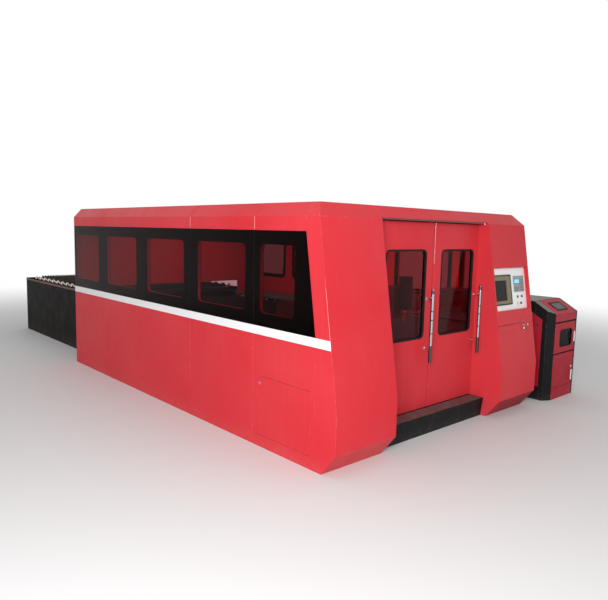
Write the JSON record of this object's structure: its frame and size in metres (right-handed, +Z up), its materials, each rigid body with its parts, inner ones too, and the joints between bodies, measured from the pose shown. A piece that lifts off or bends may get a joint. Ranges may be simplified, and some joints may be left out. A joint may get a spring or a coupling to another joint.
{
  "type": "fiber laser cutting machine",
  "caption": "Enclosed sheet-metal laser cutter with leaning front columns, swing doors, console tower, rear slatted pallet table and a separate control cabinet.",
  "frame": {"origin": "on the floor under the middle of the whole machine, exchange table and cabinet included", "axes": "+Z up; the front doors and console face -Y, the exchange table is at +Y, the control cabinet at +X"},
  "size_m": [4.1902, 8.5232, 2.167],
  "materials": {
    "red_paint": "gloss",
    "cabinet_red": "gloss",
    "black_paint": "satin",
    "stripe_white": "satin",
    "dark_wall": "matte",
    "tinted_acrylic": "gloss",
    "door_glass": "gloss",
    "gasket_rubber": "matte",
    "polished_steel": "polished",
    "console_silver": "satin",
    "bezel_gold": "satin",
    "screen_glass": "satin",
    "keypad_grey": "satin",
    "lcd_blue": "satin",
    "button_black": "satin",
    "button_red": "satin",
    "button_pink": "satin",
    "button_white": "satin",
    "button_yellow": "satin",
    "bed_steel": "matte",
    "gantry_aluminium": "satin",
    "slat_steel": "scorched",
    "table_black": "matte",
    "pull_white": "satin",
    "display_grey": "satin"
  },
  "bodies": {
    "machine": {"button_plate": "red_paint", "cabinet_carcass": "black_paint", "cabinet_display": "display_grey", "cabinet_inset_left": "cabinet_red", "cabinet_inset_right": "cabinet_red", "cabinet_kick": "cabinet_red", "cabinet_top_panel": "cabinet_red", "console_panel": "console_silver", "control_tower": "red_paint", "door_head_strip": "polished_steel", "exchange_table": "table_black", "front_header": "red_paint", "front_pillar": "red_paint", "front_step": "black_paint", "keypad": "keypad_grey", "keypad_display": "lcd_blue", "machine_bed": "bed_steel", "monitor_bezel": "bezel_gold", "monitor_screen": "screen_glass", "rear_wall": "red_paint", "roof_shell": "red_paint", "side_panel_left": "red_paint", "side_panel_right": "red_paint", "stripe_left": "stripe_white", "stripe_right": "stripe_white", "tinted_band_left": "tinted_acrylic", "tinted_band_right": "tinted_acrylic", "window_wall_left": "dark_wall", "window_wall_right": "dark_wall"},
    "access_door": {"access_door": "red_paint"},
    "access_lock": {"access_lock": "polished_steel"},
    "door_left": {"door_left": "red_paint", "door_left_gasket": "gasket_rubber", "door_left_pane": "door_glass", "door_left_handle": "polished_steel"},
    "door_right": {"door_right": "red_paint", "door_right_gasket": "gasket_rubber", "door_right_pane": "door_glass", "door_right_handle": "polished_steel"},
    "start_button": {"start_button": "button_black"},
    "feed_button": {"feed_button": "button_black"},
    "mode_selector": {"mode_selector": "button_yellow"},
    "key_switch": {"key_switch": "button_black"},
    "keyboard_drawer": {"keyboard_drawer": "red_paint", "keyboard": "button_black"},
    "emergency_stop": {"emergency_stop": "button_red"},
    "power_button": {"power_button": "button_pink"},
    "lamp_button": {"lamp_button": "button_white"},
    "black_button_upper": {"black_button_upper": "button_black"},
    "black_button_lower": {"black_button_lower": "button_black"},
    "gantry": {"gantry": "gantry_aluminium"},
    "cross_carriage": {"cross_carriage": "gantry_aluminium"},
    "cutting_head": {"cutting_head": "gantry_aluminium"},
    "pallet_inner": {"pallet_inner": "slat_steel"},
    "pallet_outer": {"pallet_outer": "slat_steel"},
    "cabinet_upper_door": {"cabinet_upper_door": "cabinet_red", "cabinet_upper_pane": "door_glass", "cabinet_upper_handle": "pull_white"},
    "cabinet_lower_door": {"cabinet_lower_door": "cabinet_red", "cabinet_lower_handle": "pull_white"}
  },
  "joints": [
    {"name": "access_door_swing", "type": "hinge", "parent": "machine", "child": "access_door", "pos_m": [-2.08985, -3.92765, 0.3785], "axis": [0, 0, 1], "range_deg": [0, 110]},
    {"name": "access_lock_turn", "type": "hinge", "parent": "access_door", "child": "access_lock", "pos_m": [-2.08985, -3.26265, 0.583], "axis": [-1, 0, 0], "range_deg": [0, 90]},
    {"name": "door_left_swing", "type": "hinge", "parent": "machine", "child": "door_left", "pos_m": [-1.35295, -3.86268, 1.123], "axis": [0, 0, -1], "range_deg": [0, 85]},
    {"name": "door_right_swing", "type": "hinge", "parent": "machine", "child": "door_right", "pos_m": [-0.42585, -3.86268, 1.123], "axis": [0, 0, -1], "range_deg": [0, 90]},
    {"name": "start_button_push", "type": "slide", "parent": "machine", "child": "start_button", "axis": [0, 0.987, -0.1607], "range_m": [0, 0.003], "stiffness_N_per_m": 300, "springref_m": -0.002},
    {"name": "feed_button_push", "type": "slide", "parent": "machine", "child": "feed_button", "axis": [0, 0.987, -0.1607], "range_m": [0, 0.003], "stiffness_N_per_m": 300, "springref_m": -0.002},
    {"name": "mode_selector_turn", "type": "hinge", "parent": "machine", "child": "mode_selector", "pos_m": [0.88515, -4.07519, 1.19257], "axis": [0, -0.987, 0.1607], "range_deg": [-45, 45]},
    {"name": "key_switch_turn", "type": "hinge", "parent": "machine", "child": "key_switch", "pos_m": [0.94415, -4.07519, 1.19257], "axis": [0, -0.987, 0.1607], "range_deg": [0, 90]},
    {"name": "keyboard_drawer_slide", "type": "slide", "parent": "machine", "child": "keyboard_drawer", "axis": [0, -1, 0], "range_m": [0, 0.24]},
    {"name": "emergency_stop_push", "type": "slide", "parent": "machine", "child": "emergency_stop", "axis": [0, 0.987, -0.1607], "range_m": [0, 0.003], "stiffness_N_per_m": 300, "springref_m": -0.002},
    {"name": "power_button_push", "type": "slide", "parent": "machine", "child": "power_button", "axis": [0, 0.987, -0.1607], "range_m": [0, 0.003], "stiffness_N_per_m": 300, "springref_m": -0.002},
    {"name": "lamp_button_push", "type": "slide", "parent": "machine", "child": "lamp_button", "axis": [0, 0.987, -0.1607], "range_m": [0, 0.003], "stiffness_N_per_m": 300, "springref_m": -0.002},
    {"name": "black_button_upper_push", "type": "slide", "parent": "machine", "child": "black_button_upper", "axis": [0, 0.987, -0.1607], "range_m": [0, 0.003], "stiffness_N_per_m": 300, "springref_m": -0.002},
    {"name": "black_button_lower_push", "type": "slide", "parent": "machine", "child": "black_button_lower", "axis": [0, 0.987, -0.1607], "range_m": [0, 0.003], "stiffness_N_per_m": 300, "springref_m": -0.002},
    {"name": "gantry_slide", "type": "slide", "parent": "machine", "child": "gantry", "axis": [0, 1, 0], "range_m": [0, 3.9]},
    {"name": "cross_carriage_slide", "type": "slide", "parent": "gantry", "child": "cross_carriage", "axis": [1, 0, 0], "range_m": [-1.1, 1.1]},
    {"name": "cutting_head_slide", "type": "slide", "parent": "cross_carriage", "child": "cutting_head", "axis": [0, 0, 1], "range_m": [-0.12, 0]},
    {"name": "inner_pallet_slide", "type": "slide", "parent": "machine", "child": "pallet_inner", "axis": [0, 1, 0], "range_m": [0, 3.26]},
    {"name": "outer_pallet_slide", "type": "slide", "parent": "machine", "child": "pallet_outer", "axis": [0, 1, 0], "range_m": [-3.26, 0]},
    {"name": "cabinet_upper_door_swing", "type": "hinge", "parent": "machine", "child": "cabinet_upper_door", "pos_m": [1.53105, -4.22265, 0.738], "axis": [0, 0, -1], "range_deg": [0, 110]},
    {"name": "cabinet_lower_door_swing", "type": "hinge", "parent": "machine", "child": "cabinet_lower_door", "pos_m": [1.53105, -4.22265, 0.341], "axis": [0, 0, -1], "range_deg": [0, 110]}
  ],
  "couplings": [
    {"joint": "outer_pallet_slide", "follows": "inner_pallet_slide", "ratio": -1}
  ]
}
